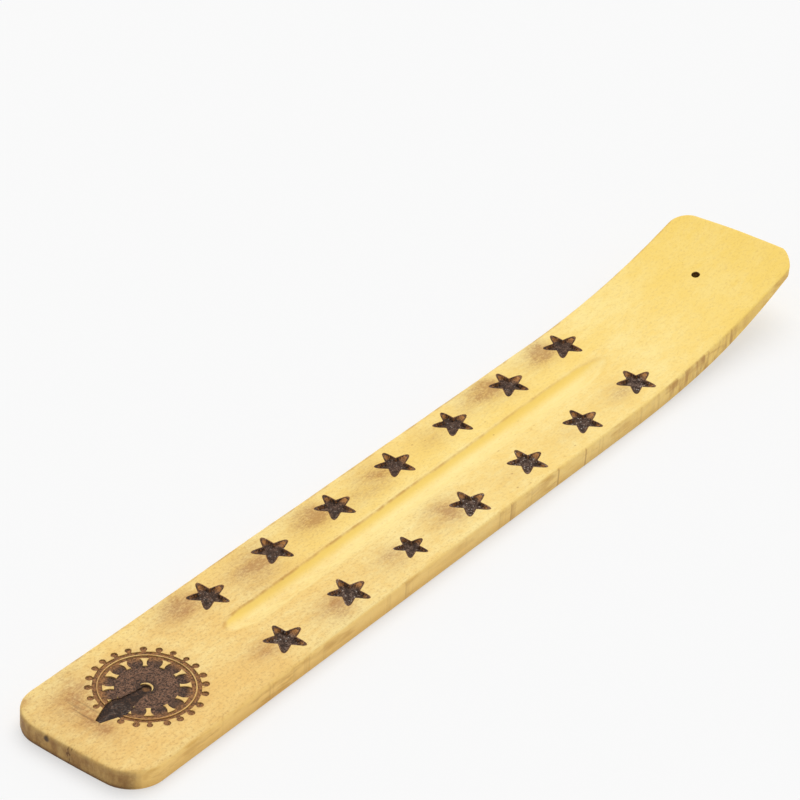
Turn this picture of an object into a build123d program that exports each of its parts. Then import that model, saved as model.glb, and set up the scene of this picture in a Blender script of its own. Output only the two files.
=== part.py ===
from build123d import *
import math
import os

# Incense stick holder: one bent wooden board with an ash groove, a stick hole in its raised
# end, two rows of burned-in stars and a burned-in medallion. Sizes are in millimetres.
# While it is built, x runs from the plain near end to the raised tip, y points to the left
# edge seen from the near end, and z is up from the underside.

# Board
BOARD_LENGTH = 264.0
BOARD_WIDTH = 38.6
BOARD_THICKNESS = 6.0
TIP_WIDTH = 37.6
TIP_THICKNESS = 2.4
TIP_RELIEF_LENGTH = 37.0
BEND_LENGTH = 72.5
BEND_RADIUS = 240.0
NEAR_CORNER_RADIUS = 8.5
TIP_CORNER_RADIUS = 4.0
NEAR_END_ANGLE = 2.2
TIP_END_ANGLE = 4.0
NEAR_END_BULGE = 0.6
TIP_END_BULGE = 0.6
TOP_EASING = 0.8
UNDERSIDE_EASING = 1.1

# The groove and the stars sit this far left of the board's middle line
MARK_OFFSET = 0.15

# Ash groove
GROOVE_WIDTH = 7.0
GROOVE_DEPTH = 1.4
GROOVE_START = 52.5
GROOVE_NEAR_RUNOUT_RADIUS = 26.0
GROOVE_TIP_RUNOUT_RADIUS = 48.0
GROOVE_RUNOUT_TURN = 35.0

# Stick hole, square to the bent top
STICK_HOLE_DIAMETER = 2.4
STICK_HOLE_FROM_TIP = 18.7
STICK_HOLE_OFFSET = 1.0

# Burned-in stars, numbered from the near end
STAR_POINTS = 5
STAR_RADIUS = 5.5
STAR_WAIST_RADIUS = 2.6
STAR_DEPTH = 1.1
STAR_DRAFT = 22.0
STAR_COUNT = 7
STAR_PITCH = 23.5
FIRST_STAR = 59.8
STAR_FROM_EDGE = 7.55
FAINT_STAR = ("right", 3)
FAINT_STAR_SCALE = 0.82

# Charred wood that lines the burned-in marks
CHAR_THICKNESS = 0.3

# Burned-in medallion
MEDALLION_FROM_END = 25.5
MEDALLION_OFFSET = 0.5
MEDALLION_DEPTH = 0.6
RIM_RADIUS = 12.4
RIM_WIDTH = 1.05
BEAD_COUNT = 24
BEAD_RADIUS = 0.95
BEAD_SIDES = 8
BEAD_STAND_OFF = 0.9
PLAIN_LINE_WIDTH = 0.35
INNER_RING_WIDTH = 1.0
PETAL_COUNT = 12
PETAL_LENGTH = 4.4
PETAL_WIDTH = 3.7
PETAL_RING_WIDTH = 2.6
CRESCENT_RADIUS = 1.75
CRESCENT_WIDTH = 0.55
CRESCENT_SHIFT = 0.35

# Leaf figure that lies over the medallion and points to the near end
LEAF_BODY_RADIUS = 3.0
LEAF_BODY_REACH = 9.4
LEAF_TIP_REACH = 16.8
LEAF_TIP_RADIUS = 0.6
LEAF_NECK_WIDTH = 3.2
LEAF_STEM_WIDTH = 2.0
LEAF_EYE_RADIUS = 1.3
LEAF_DEPTH = 0.9

# How far cutting shapes stand past the wood
OVERCUT = 1.0

BEND_START = BOARD_LENGTH - BEND_LENGTH
STAR_ROW = BOARD_WIDTH / 2 - STAR_FROM_EDGE


def bend_angle(x):
    """Turn of the bent top at length x, in radians."""
    return math.asin(max(x - BEND_START, 0) / BEND_RADIUS)


def on_top(x, y):
    """Plane that touches the top at (x, y), its x axis along the board and its z axis out of the wood."""
    turn = bend_angle(x)
    height = BOARD_THICKNESS + BEND_RADIUS * (1 - math.cos(turn))
    along = (math.cos(turn), 0, math.sin(turn))
    out = (-math.sin(turn), 0, math.cos(turn))
    return Plane(origin=(x, y, height), x_dir=along, z_dir=out)


def side_profile():
    """Side view of the bent board, thinned under its tip and longer than the finished board at both ends."""
    reach = BOARD_LENGTH + BOARD_WIDTH * math.tan(math.radians(TIP_END_ANGLE)) + OVERCUT
    turn = bend_angle(reach)
    centre = Vector(BEND_START, BOARD_THICKNESS + BEND_RADIUS)
    down = Vector(0, -1)

    def around(radius, angle):
        return centre + down.rotate(Axis.Z, math.degrees(angle)) * radius

    outer = BEND_RADIUS + BOARD_THICKNESS
    start = -BOARD_WIDTH
    relief = bend_angle(BOARD_LENGTH - TIP_RELIEF_LENGTH)
    past = 1 + (reach - BOARD_LENGTH) / TIP_RELIEF_LENGTH
    thin_end = around(outer - (BOARD_THICKNESS - TIP_THICKNESS) * past**2, turn)
    relief_start = around(outer, relief)
    outline = Polyline((BEND_START, BOARD_THICKNESS), (start, BOARD_THICKNESS), (start, 0), (BEND_START, 0))
    outline += ThreePointArc((BEND_START, 0), around(outer, relief / 2), relief_start)
    outline += TangentArc(relief_start, thin_end, tangent=(math.cos(relief), math.sin(relief)))
    outline += Line(thin_end, around(BEND_RADIUS, turn))
    outline += ThreePointArc(
        around(BEND_RADIUS, turn), around(BEND_RADIUS, turn / 2), (BEND_START, BOARD_THICKNESS)
    )
    return Plane.XZ * make_face(outline)


def plan_outline():
    """Top view of the board, with bowed ends a little out of square and rounded corners."""
    near_lean = BOARD_WIDTH / 2 * math.tan(math.radians(NEAR_END_ANGLE))
    tip_lean = TIP_WIDTH / 2 * math.tan(math.radians(TIP_END_ANGLE))
    near_left = (-near_lean, BOARD_WIDTH / 2)
    near_right = (near_lean, -BOARD_WIDTH / 2)
    bend_right = (BEND_START, -BOARD_WIDTH / 2)
    tip_right = (BOARD_LENGTH + tip_lean, -TIP_WIDTH / 2)
    tip_left = (BOARD_LENGTH - tip_lean, TIP_WIDTH / 2)
    bend_left = (BEND_START, BOARD_WIDTH / 2)
    outline = ThreePointArc(near_left, (-NEAR_END_BULGE, 0), near_right)
    outline += Polyline(near_right, bend_right, tip_right)
    outline += ThreePointArc(tip_right, (BOARD_LENGTH + TIP_END_BULGE, 0), tip_left)
    outline += Polyline(tip_left, bend_left, near_left)
    outline = make_face(outline)
    by_length = outline.vertices().sort_by(Axis.X)
    outline = fillet(by_length[:2], NEAR_CORNER_RADIUS)
    by_length = outline.vertices().sort_by(Axis.X)
    tips = [v for v in by_length if v.X > BOARD_LENGTH - 2 * tip_lean]
    return fillet(tips, TIP_CORNER_RADIUS)


def rim_edges(solid, facing):
    """Edges round the faces that look up (facing 1) or down (facing -1), but not between two such faces."""
    steepest = math.cos(math.radians(45))
    faces = [f for f in solid.faces() if f.normal_at().Z * facing > steepest]
    edges = [e for f in faces for e in f.edges()]
    return [e for e in edges if sum(e.is_same(other) for other in edges) == 1]


def bent_board():
    """The board before any mark is cut into it."""
    height = BOARD_THICKNESS + BEND_RADIUS
    plank = extrude(side_profile(), amount=BOARD_WIDTH, both=True)
    board = plank & extrude(plan_outline(), amount=height)
    board = fillet(rim_edges(board, 1), TOP_EASING)
    return fillet(rim_edges(board, -1), UNDERSIDE_EASING)


def groove_cutter():
    """Round-nosed cut along the flat of the board, which runs out upwards past both ends of the flat."""
    nose = GROOVE_WIDTH**2 / (8 * GROOVE_DEPTH) + GROOVE_DEPTH / 2
    level = BOARD_THICKNESS - GROOVE_DEPTH + nose
    near_runout = math.sqrt(2 * GROOVE_NEAR_RUNOUT_RADIUS * GROOVE_DEPTH - GROOVE_DEPTH**2)
    start = GROOVE_START + near_runout
    turn = math.radians(GROOVE_RUNOUT_TURN)

    def runout(x, floor_radius, way):
        radius = floor_radius - nose
        return [
            (x + way * radius * math.sin(angle), level + radius * (1 - math.cos(angle)))
            for angle in (0, turn / 2, turn)
        ]

    near_points = runout(start, GROOVE_NEAR_RUNOUT_RADIUS, -1)
    tip_points = runout(BEND_START, GROOVE_TIP_RUNOUT_RADIUS, 1)
    path = ThreePointArc(*reversed(near_points))
    path += Line(near_points[0], tip_points[0])
    path += ThreePointArc(*tip_points)
    path = Plane.XZ.offset(-MARK_OFFSET) * path
    section = Plane(origin=path @ 0, z_dir=path % 0) * Circle(nose)
    return sweep(section, path=path)


def stick_hole():
    """Hole drilled right through the raised end, square to its top."""
    mouth = on_top(BOARD_LENGTH - STICK_HOLE_FROM_TIP, STICK_HOLE_OFFSET)
    drill = Cylinder(STICK_HOLE_DIAMETER / 2, BOARD_THICKNESS + 2 * OVERCUT)
    return mouth.offset(-BOARD_THICKNESS / 2) * drill


def star_points(plane, radius, waist):
    """Corners of a star with one point along the plane's x axis."""
    step = math.pi / STAR_POINTS
    reach = [radius, waist] * STAR_POINTS
    corners = [(r * math.cos(i * step), r * math.sin(i * step)) for i, r in enumerate(reach)]
    return [plane.from_local_coords(corner) for corner in corners]


def star_wedge(plane, scale, depth, inset):
    """Star-shaped plug with flat sloping sides, drawn in by inset at the top and tapering to depth."""
    radius, waist = STAR_RADIUS * scale, STAR_WAIST_RADIUS * scale
    step = math.pi / STAR_POINTS
    side = math.hypot(radius - waist * math.cos(step), waist * math.sin(step))
    side_distance = radius * waist * math.sin(step) / side
    slope = math.tan(math.radians(STAR_DRAFT))

    def ring_at(level):
        shrink = 1 - (inset - level * slope) / side_distance
        return star_points(plane.offset(level), radius * shrink, waist * shrink)

    floor, mouth = ring_at(-depth), ring_at(OVERCUT)
    sides = zip(floor, floor[1:] + floor[:1], mouth[1:] + mouth[:1], mouth)
    faces = [make_face(Polyline(*corners, close=True)) for corners in (floor, mouth, *sides)]
    return Solid(Shell([region.face() for region in faces]))


def star_places():
    """Name, plane and scale of every star."""
    places = []
    for side, sign in (("left", 1), ("right", -1)):
        for number in range(1, STAR_COUNT + 1):
            x = FIRST_STAR + (number - 1) * STAR_PITCH
            scale = FAINT_STAR_SCALE if (side, number) == FAINT_STAR else 1
            places.append((f"star_char_{side}_{number}", on_top(x, sign * STAR_ROW + MARK_OFFSET), scale))
    return places


def leaf_figure():
    """Leaf with a round body, a neck that narrows to a stem and a round eye at the medallion's centre."""
    turn = math.acos(LEAF_BODY_RADIUS / (LEAF_TIP_REACH - LEAF_BODY_REACH))
    touch = -LEAF_BODY_REACH - LEAF_BODY_RADIUS * math.cos(turn)
    aside = LEAF_BODY_RADIUS * math.sin(turn)
    tip, left, right = (-LEAF_TIP_REACH, 0), (touch, aside), (touch, -aside)
    outline = Line(tip, right)
    outline += ThreePointArc(right, (LEAF_BODY_RADIUS - LEAF_BODY_REACH, 0), left)
    outline += Line(left, tip)
    leaf = make_face(outline)
    leaf = fillet(leaf.vertices().sort_by(Axis.X)[:1], LEAF_TIP_RADIUS)
    neck = [(-LEAF_BODY_REACH, -LEAF_NECK_WIDTH / 2), (0, -LEAF_STEM_WIDTH / 2)]
    neck += [(0, LEAF_STEM_WIDTH / 2), (-LEAF_BODY_REACH, LEAF_NECK_WIDTH / 2)]
    return leaf + make_face(Polyline(*neck, close=True)) + Circle(LEAF_EYE_RADIUS)


def medallion_rim():
    """Ring with a row of beads round it."""
    beads = PolarLocations(RIM_RADIUS + BEAD_STAND_OFF, BEAD_COUNT)
    ring = Circle(RIM_RADIUS) - Circle(RIM_RADIUS - RIM_WIDTH)
    return ring + [place * RegularPolygon(BEAD_RADIUS, BEAD_SIDES) for place in beads]


def medallion_flower():
    """Inner ring, round petals and disc, with plain gaps between the petals and a crescent at the centre."""
    ring_radius = RIM_RADIUS - RIM_WIDTH - PLAIN_LINE_WIDTH
    gap_radius = ring_radius - INNER_RING_WIDTH
    disc_radius = gap_radius - PETAL_RING_WIDTH
    petals = PolarLocations((gap_radius + disc_radius) / 2, PETAL_COUNT)
    flower = Circle(ring_radius) - Circle(gap_radius) + Circle(disc_radius)
    flower += [place * Ellipse(PETAL_LENGTH / 2, PETAL_WIDTH / 2) for place in petals]
    crescent_inside = CRESCENT_RADIUS - CRESCENT_WIDTH + CRESCENT_SHIFT
    crescent = Circle(CRESCENT_RADIUS) - Pos(-CRESCENT_SHIFT, 0) * Circle(crescent_inside)
    return flower - crescent


def burned_plate(plane, region, depth):
    """Pit of the region's shape, and the char that covers its floor."""
    pit = extrude(plane.offset(-depth) * region, amount=depth + OVERCUT)
    char = extrude(plane.offset(-depth) * region, amount=CHAR_THICKNESS)
    return pit, char


def build():
    """Every node by name, with the board's footprint centred on the origin."""
    blank = bent_board()
    groove = groove_cutter()
    nodes = {}
    cutters = [groove, stick_hole()]
    for name, plane, scale in star_places():
        pit = star_wedge(plane, scale, STAR_DEPTH, 0)
        hollow = star_wedge(plane, scale, STAR_DEPTH - CHAR_THICKNESS, CHAR_THICKNESS)
        cutters.append(pit)
        nodes[name] = (pit - hollow) & blank
    medallion = on_top(MEDALLION_FROM_END, MEDALLION_OFFSET)
    leaf = leaf_figure()
    burns = {
        "medallion_rim_char": (medallion_rim() - leaf, MEDALLION_DEPTH),
        "medallion_flower_char": (medallion_flower() - leaf, MEDALLION_DEPTH),
        "medallion_leaf_char": (leaf, LEAF_DEPTH),
    }
    for name, (region, depth) in burns.items():
        pit, char = burned_plate(medallion, region, depth)
        cutters.append(pit)
        nodes[name] = char
    nodes["board"] = blank - cutters
    box = blank.bounding_box()
    home = Pos(-box.center().X, -box.center().Y, -box.min.Z)
    return {name: home * solid for name, solid in nodes.items()}


os.makedirs("parts", exist_ok=True)
for node, shape in build().items():
    export_step(shape, f"parts/{node}.step")
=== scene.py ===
import math
from contextlib import contextmanager

import bmesh
import bpy
from bpy.props import FloatProperty, FloatVectorProperty, IntProperty, PointerProperty
from bpy.types import Operator, Panel, PropertyGroup
from mathutils import Matrix, Vector, noise


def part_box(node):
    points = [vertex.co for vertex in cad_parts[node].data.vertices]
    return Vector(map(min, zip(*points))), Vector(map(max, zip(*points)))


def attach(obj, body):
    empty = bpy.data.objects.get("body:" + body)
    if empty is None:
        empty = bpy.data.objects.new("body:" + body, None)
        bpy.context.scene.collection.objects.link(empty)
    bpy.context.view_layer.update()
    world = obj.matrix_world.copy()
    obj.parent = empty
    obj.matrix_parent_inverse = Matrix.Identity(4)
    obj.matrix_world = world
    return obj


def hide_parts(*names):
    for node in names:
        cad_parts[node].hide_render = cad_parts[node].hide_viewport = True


bl_info = {
    "name": "Incense Stick Holder",
    "version": (1, 0, 0),
    "blender": (4, 5, 0),
    "location": "3D View > Sidebar > Holder",
    "description": "Models a bent wooden incense stick holder with burned-in stars and a medallion",
    "category": "Object",
}

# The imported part, and its box before anything is added
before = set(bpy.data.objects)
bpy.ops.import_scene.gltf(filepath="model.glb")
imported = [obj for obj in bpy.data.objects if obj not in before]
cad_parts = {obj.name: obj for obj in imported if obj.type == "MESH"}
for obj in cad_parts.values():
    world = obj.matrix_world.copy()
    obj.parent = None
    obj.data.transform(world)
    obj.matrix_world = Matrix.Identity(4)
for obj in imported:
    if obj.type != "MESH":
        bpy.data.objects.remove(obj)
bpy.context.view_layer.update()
BODY = "root"

# Number of copies in each pattern
STAR_POINTS = 5
STARS_IN_A_ROW = 7
ROWS = ("left", "right")

# Share of painted glints, light grey that stands for the shine of char flakes, in the stars of each row
STAR_GLINT = (0.3, 0.8)

# Radius of a full-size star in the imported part
NODE_STAR_RADIUS = 0.0055

# How far cutting shapes stand past the wood
OVERCUT = 0.001

# Small step in height between blocks that are joined, because faces in one plane join badly
HAIR = 0.00001

# Spacing of the mesh on the wood, up its sides, along the groove's edge and on the char
WOOD_CELL = 0.00075
SIDE_CELL = 0.0009
EDGE_CELL = 0.00022
CHAR_CELL = 0.0004

# Sides of the large round shapes of the medallion, and how far its beads and petals stray
RING_SIDES = 144
BEAD_STRAY = 0.22
PETAL_STRAY = 0.12

# Angles in degrees under which the faces of the wood, the char and the leaf are shaded smooth
WOOD_CREASE = 32
CHAR_CREASE = 40
LEAF_CREASE = 50

# Length over which the ends of the board bow out
BOWED_LENGTH = 0.012

# Width and share of the sanded roll-off at the plain end, along its right edge and along its left
# one, where the two edges fade out, and the most that all of them drop together
END_ROLL_OFF = (0.004, 0.7)
RIGHT_ROLL_OFF = (0.0045, 1)
LEFT_ROLL_OFF = (0.0035, 0.2)
ROLL_OFF_FADE = (0.03, 0.12)
MOST_ROLL_OFF = 1.2

# How far the groove wanders from a straight line
GROOVE_WANDER = 0.0003

# Depth of the upper ring of the stick hole's wall
HOLE_RIM = 0.0003


def length(name, description, default):
    """A size in metres."""
    return FloatProperty(name=name, description=description, default=default, unit="LENGTH", precision=5)


def angle(name, description, degrees):
    """An angle, given in degrees and kept in radians."""
    return FloatProperty(name=name, description=description, default=math.radians(degrees), subtype="ANGLE")


def colour(name, description, red, green, blue):
    """A colour, given as screen values from 0 to 255 and kept as linear ones."""
    linear = []
    for value in (red, green, blue):
        share = value / 255
        linear.append(share / 12.92 if share <= 0.04045 else ((share + 0.055) / 1.055) ** 2.4)
    return FloatVectorProperty(
        name=name, description=description, default=(*linear, 1), size=4, subtype="COLOR", min=0, max=1
    )


class BoardSizes(PropertyGroup):
    """Sizes of the wooden board."""

    near_end: length("Near end", "Where the middle of the plain end lies along the board", -0.1328)
    length: length("Length", "From the plain end to the raised tip, without their bulges", 0.26458)
    width: length("Width", "Across the flat part", 0.0386)
    tip_width: length("Tip width", "Across the raised tip", 0.0376)
    thickness: length("Thickness", "Height of the flat part", 0.006)
    tip_thickness: length("Tip thickness", "Height of the edge of the raised tip", 0.0019)
    tip_relief: length("Tip relief", "Length over which the tip is thinned from below", 0.045)
    bend_length: length("Bend length", "Length of the raised end, seen from above", 0.0725)
    bend_radius: length("Bend radius", "Radius of the bent top", 0.24)
    near_corner: length("Near corner", "Radius of the corners of the plain end", 0.0085)
    tip_corner: length("Tip corner", "Radius of the left corner of the raised tip", 0.005)
    cut_corner: length("Cut corner", "Size of the flatter right corner of the raised tip", 0.0056)
    near_bulge: length("Near bulge", "How far the plain end bows out", 0.0006)
    tip_bulge: length("Tip bulge", "How far the raised tip bows out", 0.0006)
    near_lean: angle("Near end angle", "How far the plain end is out of square", 2.2)
    tip_lean: angle("Tip angle", "How far the raised tip is out of square", 4)
    top_easing: length("Top easing", "Radius of the top edges", 0.0008)
    underside_easing: length("Underside easing", "Radius of the bottom edges", 0.0011)
    roll_off: length("Roll-off", "How far the sanded top drops at the edges of the plain end", 0.0008)
    unevenness: length("Unevenness", "How far hand sanding strays from a true face", 0.00012)
    mark_offset: length("Mark offset", "How far the groove sits left of the middle line", 0.00015)
    groove_width: length("Groove width", "Width of the ash groove", 0.007)
    groove_feather: length("Groove feather", "Width of the groove's soft right half", 0.0046)
    groove_depth: length("Groove depth", "Depth of the ash groove", 0.0014)
    groove_start: length("Groove start", "From the plain end to the groove", 0.05308)
    groove_near_runout: length("Near run-out", "Radius of the groove's floor at its plain end", 0.036)
    groove_tip_runout: length("Tip run-out", "Radius of the groove's floor at its raised end", 0.048)
    groove_edge: length("Groove edge", "How far the groove's edges are worn round", 0.00014)
    hole_radius: length("Hole radius", "Radius of the stick hole", 0.00115)
    hole_from_tip: length("Hole from tip", "From the tip to the stick hole", 0.0187)
    hole_offset: length("Hole offset", "How far the hole sits left of the middle line", 0.001)


class MarkSizes(PropertyGroup):
    """Sizes of the burned-in marks."""

    char_thickness: length("Char thickness", "Thickness of the burnt layer", 0.0003)
    star_radius: length("Star radius", "From a star's centre to where its sides would meet", 0.0069)
    star_waist: length("Star waist", "From a star's centre to its inner corners", 0.00268)
    star_bulge: length("Star bulge", "How far a star's sides bow outward", 0.00008)
    star_tip: length("Star tip", "How far the points of a star are blunted", 0.00264)
    star_depth: length("Star depth", "Depth of a star's pit", 0.0011)
    star_draft: angle("Star draft", "Slope of a star's walls", 22)
    medallion_from_end: length("Medallion from end", "From the plain end to the medallion's centre", 0.02608)
    medallion_offset: length("Medallion offset", "How far the medallion sits left of the middle line", 0.0005)
    medallion_depth: length("Medallion depth", "Depth of the medallion's pits", 0.0006)
    rim_radius: length("Rim radius", "Outside of the medallion's rim", 0.0125)
    rim_width: length("Rim width", "Width of the rim", 0.00105)
    bead_count: IntProperty(name="Beads", description="Number of beads round the rim", default=24)
    bead_radius: length("Bead radius", "Radius of a bead", 0.00086)
    bead_neck: length("Bead neck", "Width of the neck between a bead and the rim", 0.0011)
    bead_stand_off: length("Bead stand-off", "From the rim to a bead's centre", 0.0009)
    plain_line: length("Plain line", "Width of the wooden line inside the rim", 0.00028)
    inner_ring: length("Inner ring", "Width of the burnt ring inside the line", 0.00107)
    petal_count: IntProperty(name="Petals", description="Number of round petals", default=12)
    petal_length: length("Petal length", "Length of a petal, outward from the centre", 0.0044)
    petal_width: length("Petal width", "Width of a petal", 0.0037)
    petal_ring: length("Petal ring", "Width of the ring that holds the petals", 0.0026)
    crescent_radius: length("Crescent radius", "Outside of the wooden crescent", 0.00168)
    crescent_width: length("Crescent width", "Widest part of the crescent", 0.00052)
    crescent_shift: length("Crescent shift", "How far the crescent's inside is moved", 0.0006)
    eye_offset: length("Eye offset", "How far the eye and its crescent sit towards the leaf", 0.00035)
    leaf_length: length("Leaf length", "Half the length of the leaf's oval body", 0.004)
    leaf_body: length("Leaf body", "Half the width of the leaf's oval body", 0.003)
    leaf_from_centre: length("Leaf from centre", "From the medallion's centre to the leaf's middle", 0.0096)
    leaf_reach: length("Leaf reach", "From the medallion's centre to the leaf's blunt tip", 0.0165)
    leaf_shoulder: length("Leaf shoulder", "Where the leaf's tip begins, from the medallion's centre", 0.0118)
    leaf_blunt: length("Leaf blunt", "Half the width of the leaf's blunt tip", 0.00075)
    leaf_neck: length("Leaf neck", "Width of the stem at the leaf", 0.005)
    leaf_stem: length("Leaf stem", "Width of the stem at the eye", 0.0019)
    leaf_eye: length("Leaf eye", "Radius of the round end of the stem", 0.0011)
    leaf_depth: length("Leaf depth", "Depth of the leaf's pit", 0.0009)
    scroll_height: length("Scroll height", "Height of the curled ridge on the leaf", 0.00022)


class HolderColours(PropertyGroup):
    """Colours of the wood, the char and the floor."""

    wood_pale: colour("Pale wood", "Lightest wood of the top", 255, 234, 160)
    wood_deep: colour("Deep wood", "Warmest wood of the top", 249, 214, 124)
    wood_warm: colour("Warm wood", "Handled wood towards the plain end", 232, 184, 106)
    wood_gold: colour("Golden wood", "Yellower wood of the raised end", 252, 216, 106)
    wood_lip: colour("Groove lip", "Shaded edge of the groove", 196, 140, 52)
    wood_fleck: colour("Fleck", "Pores and flecks in the wood", 176, 126, 66)
    wood_side: colour("Sawn side", "Long sides of the board", 255, 212, 124)
    wood_end: colour("End grain", "Cut across the grain", 140, 99, 51)
    scorch: colour("Scorch", "Smoke stains beside the marks", 156, 89, 38)
    burnt_edge: colour("Burnt edge", "Wood at the edge of a mark", 88, 52, 24)
    char_black: colour("Charcoal", "Deepest char", 56, 42, 34)
    char_leaf: colour("Leaf char", "Char of the leaf", 44, 31, 23)
    char_brown: colour("Brown char", "Lightly burnt wood", 146, 108, 84)
    char_ember: colour("Orange char", "Wood that is only singed", 192, 134, 76)
    char_wall: colour("Burnt wall", "Sides of a star's pit", 132, 86, 46)
    # Painted highlight: light grey that stands for light glinting off shiny char
    char_speck: colour("Char speck", "Shiny flakes of char", 190, 178, 166)
    floor: colour("Floor", "Ground under the holder", 248, 248, 248)


class BoardForm:
    """Where the top and the underside of the bent board lie."""

    def __init__(self, sizes):
        self.sizes = sizes
        self.tip = sizes.near_end + sizes.length
        self.bend = self.tip - sizes.bend_length

    def arc_height(self, x, radius):
        """Height at x of an arc round the centre of the bend."""
        centre = self.sizes.thickness + self.sizes.bend_radius
        along = max(x - self.bend, 0)
        return centre - math.sqrt(radius**2 - along**2)

    def top(self, x):
        """Height of the true top, without its groove."""
        return self.arc_height(x, self.sizes.bend_radius)

    def underside(self, x):
        """Height of the underside, which is sanded up under the tip."""
        sizes = self.sizes
        share = max(x - self.tip + sizes.tip_relief, 0) / sizes.tip_relief
        relief = (sizes.thickness - sizes.tip_thickness) * share**2
        return self.arc_height(x, sizes.bend_radius + sizes.thickness) + relief

    def tilt(self, x):
        """Upward turn of the top at x."""
        return math.asin(max(x - self.bend, 0) / self.sizes.bend_radius)

    def plane(self, x, y):
        """Axes that touch the top at a point, with x along the board and z out of the wood."""
        turn = Matrix.Rotation(-self.tilt(x), 4, "Y")
        return Matrix.Translation((x, y, self.top(x))) @ turn

    def bow(self, x, y):
        """Shift along the board that bows its ends out."""
        sizes = self.sizes
        across = max(1 - (2 * y / sizes.width) ** 2, 0)
        near = 1 - blend_step(0, BOWED_LENGTH, x - sizes.near_end)
        far = 1 - blend_step(0, BOWED_LENGTH, self.tip - x)
        return across * (sizes.tip_bulge * far - sizes.near_bulge * near)

    def uneven(self, x, y):
        """How far the hand-sanded top lies above the true one, which drops at the edges of the plain end."""
        sizes = self.sizes
        broad = noise.fractal(Vector((x * 26, y * 60, 3.1)), 1, 2, 3)
        end, half = x - sizes.near_end, sizes.width / 2
        fade = 1 - blend_step(*ROLL_OFF_FADE, end)
        drop = 0
        edges = ((end, 1, END_ROLL_OFF), (half + y, fade, RIGHT_ROLL_OFF), (half - y, fade, LEFT_ROLL_OFF))
        for inward, strength, (width, share) in edges:
            drop += share * strength * max(1 - inward / width, 0) ** 2
        return sizes.unevenness * broad - sizes.roll_off * min(drop, MOST_ROLL_OFF)

    def cut(self, x, y):
        """How deep the ash groove is cut, or less than nothing outside it."""
        sizes = self.sizes
        nose = sizes.groove_width**2 / (8 * sizes.groove_depth) + sizes.groove_depth / 2
        wave = noise.noise(Vector((x * 70, 0.4, 8.2))) + 0.4 * noise.noise(Vector((x * 260, 0.7, 5.2)))
        across = y - sizes.mark_offset - GROOVE_WANDER * wave
        if across > 0:
            depth = sizes.groove_depth - nose + math.sqrt(max(nose**2 - across**2, 0))
        else:
            past = max(-across - sizes.groove_feather, 0)
            turn = math.pi / 2 * min(-across / sizes.groove_feather, 1)
            depth = sizes.groove_depth * math.cos(turn) ** 2 - past / 2
        near_radius = sizes.groove_near_runout
        runout = math.sqrt(2 * near_radius * sizes.groove_depth - sizes.groove_depth**2)
        start = sizes.near_end + sizes.groove_start + runout
        for past, radius in ((start - x, near_radius), (x - self.bend, sizes.groove_tip_runout)):
            if past > 0:
                depth -= radius - math.sqrt(max(radius**2 - past**2, 0))
        return depth + self.top(x) - sizes.thickness

    def groove(self, x, y):
        """How far the groove lies below the top, with its edges a little worn."""
        cut = self.cut(x, y)
        return (cut + math.sqrt(cut**2 + self.sizes.groove_edge**2)) / 2


def make_active(piece):
    """Select one object alone and make it the active one."""
    bpy.ops.object.select_all(action="DESELECT")
    piece.select_set(True)
    bpy.context.view_layer.objects.active = piece


def settle(name):
    """Name the new object, and move its place, turn and scale into its mesh."""
    piece = bpy.context.active_object
    piece.name = name
    piece.data.name = name
    bpy.ops.object.transform_apply(location=True, rotation=True, scale=True)
    return piece


def add_block(name, low, high):
    """A box between two corners."""
    bpy.ops.object.select_all(action="DESELECT")
    low, high = Vector(low), Vector(high)
    bpy.ops.mesh.primitive_cube_add(size=1, location=(low + high) / 2)
    bpy.context.active_object.scale = high - low
    return settle(name)


def add_drum(name, centre, radius, low, high, sides=72):
    """An upright cylinder between two heights."""
    bpy.ops.object.select_all(action="DESELECT")
    place = (centre[0], centre[1], (low + high) / 2)
    bpy.ops.mesh.primitive_cylinder_add(vertices=sides, radius=radius, depth=high - low, location=place)
    return settle(name)


def copy_piece(piece, name, matrix):
    """A copy with a mesh of its own, moved by a matrix."""
    mesh = piece.data.copy()
    mesh.name = name
    mesh.transform(matrix)
    copy = bpy.data.objects.new(name, mesh)
    bpy.context.scene.collection.objects.link(copy)
    return copy


def discard(*pieces):
    """Remove shapes that have done their work."""
    for piece in pieces:
        bpy.data.objects.remove(piece)


def join(pieces):
    """Make several objects one."""
    make_active(pieces[0])
    for piece in pieces:
        piece.select_set(True)
    bpy.ops.object.join()
    return pieces[0]


def ring_of(piece, count, centre, reach, stray):
    """Copies of the piece round a centre, each a little off its place and size, as one object."""
    pivot = Matrix.Translation((centre[0], centre[1], 0))
    out = Matrix.Translation((reach, 0, 0))
    copies = []
    for number in range(count):
        spot = Vector((number * 1.7, count * 0.37, 0.5))
        turn = Matrix.Rotation(2 * math.pi * number / count + stray * noise.noise(spot) / 5, 4, "Z")
        size = 1 + stray * noise.noise(spot + Vector((0, 0, 9)))
        size = Matrix.Diagonal((size, size, 1, 1))
        copies.append(copy_piece(piece, piece.name, pivot @ turn @ out @ size))
    discard(piece)
    return join(copies)


def combine(piece, operation, tool):
    """Cut the tool from the piece or join it to the piece."""
    modifier = piece.modifiers.new("Combine", "BOOLEAN")
    modifier.operation = operation
    modifier.solver = "EXACT"
    modifier.object = tool
    make_active(piece)
    bpy.ops.object.modifier_apply(modifier=modifier.name)
    discard(tool)
    return piece


def fuse(piece, tools):
    """Join tools to the piece, each raised a little more than the last."""
    for number, tool in enumerate(tools, 1):
        tool.data.transform(Matrix.Translation((0, 0, number * HAIR)))
        combine(piece, "UNION", tool)
    return piece


@contextmanager
def editing(piece, kind):
    """Edit mode on one piece, picking vertices, edges or faces."""
    make_active(piece)
    bpy.ops.object.mode_set(mode="EDIT")
    bpy.ops.mesh.select_mode(type=kind)
    yield
    bpy.ops.object.mode_set(mode="OBJECT")


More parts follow.
